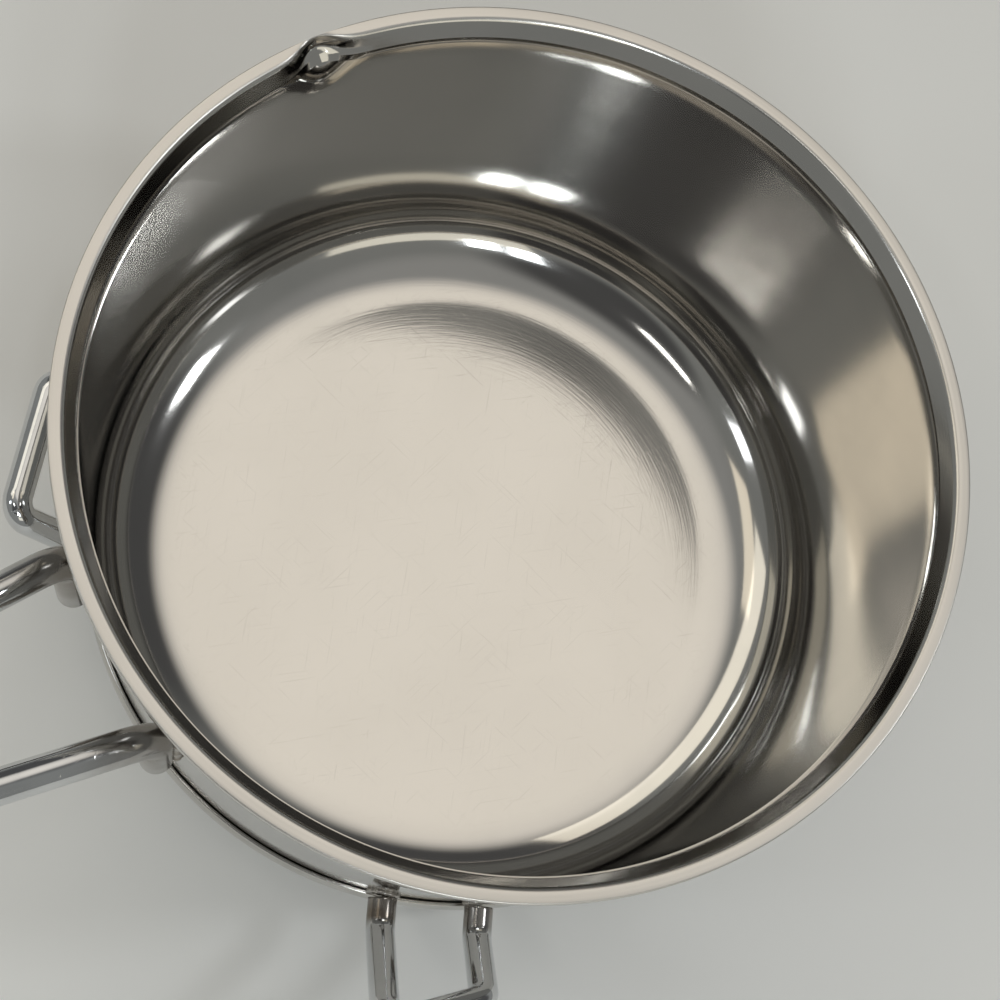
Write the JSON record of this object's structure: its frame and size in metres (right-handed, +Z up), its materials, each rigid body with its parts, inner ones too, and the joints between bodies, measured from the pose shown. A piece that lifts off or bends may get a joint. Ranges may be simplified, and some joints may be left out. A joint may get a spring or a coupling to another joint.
{
  "type": "butter melting pot",
  "caption": "Small round stainless steel melting pot with a pinched pouring notch, a capsule base, a bent wire handle and wire lugs for hanging it over hot water in a wider pan.",
  "frame": {"origin": "centre of the flat underside of the base, where the pot stands", "axes": "+Z up along the bowl's axis, +X along the handle away from the bowl, the pouring notch towards -Y"},
  "size_m": [0.2585, 0.1376, 0.0935],
  "materials": {
    "bowl_steel": "polished stainless steel wall with a satin floor and flange",
    "wire_chrome": "bright chrome plate",
    "core_aluminium": "plain, hidden inside the base"
  },
  "bodies": {
    "root": {"pot_bowl": "bowl_steel", "heat_spreader": "core_aluminium", "base_cap": "bowl_steel", "handle_loop": "wire_chrome", "hanging_lug_1": "wire_chrome", "hanging_lug_2": "wire_chrome", "hanging_lug_3": "wire_chrome", "hanging_lug_4": "wire_chrome"}
  },
  "joints": []
}
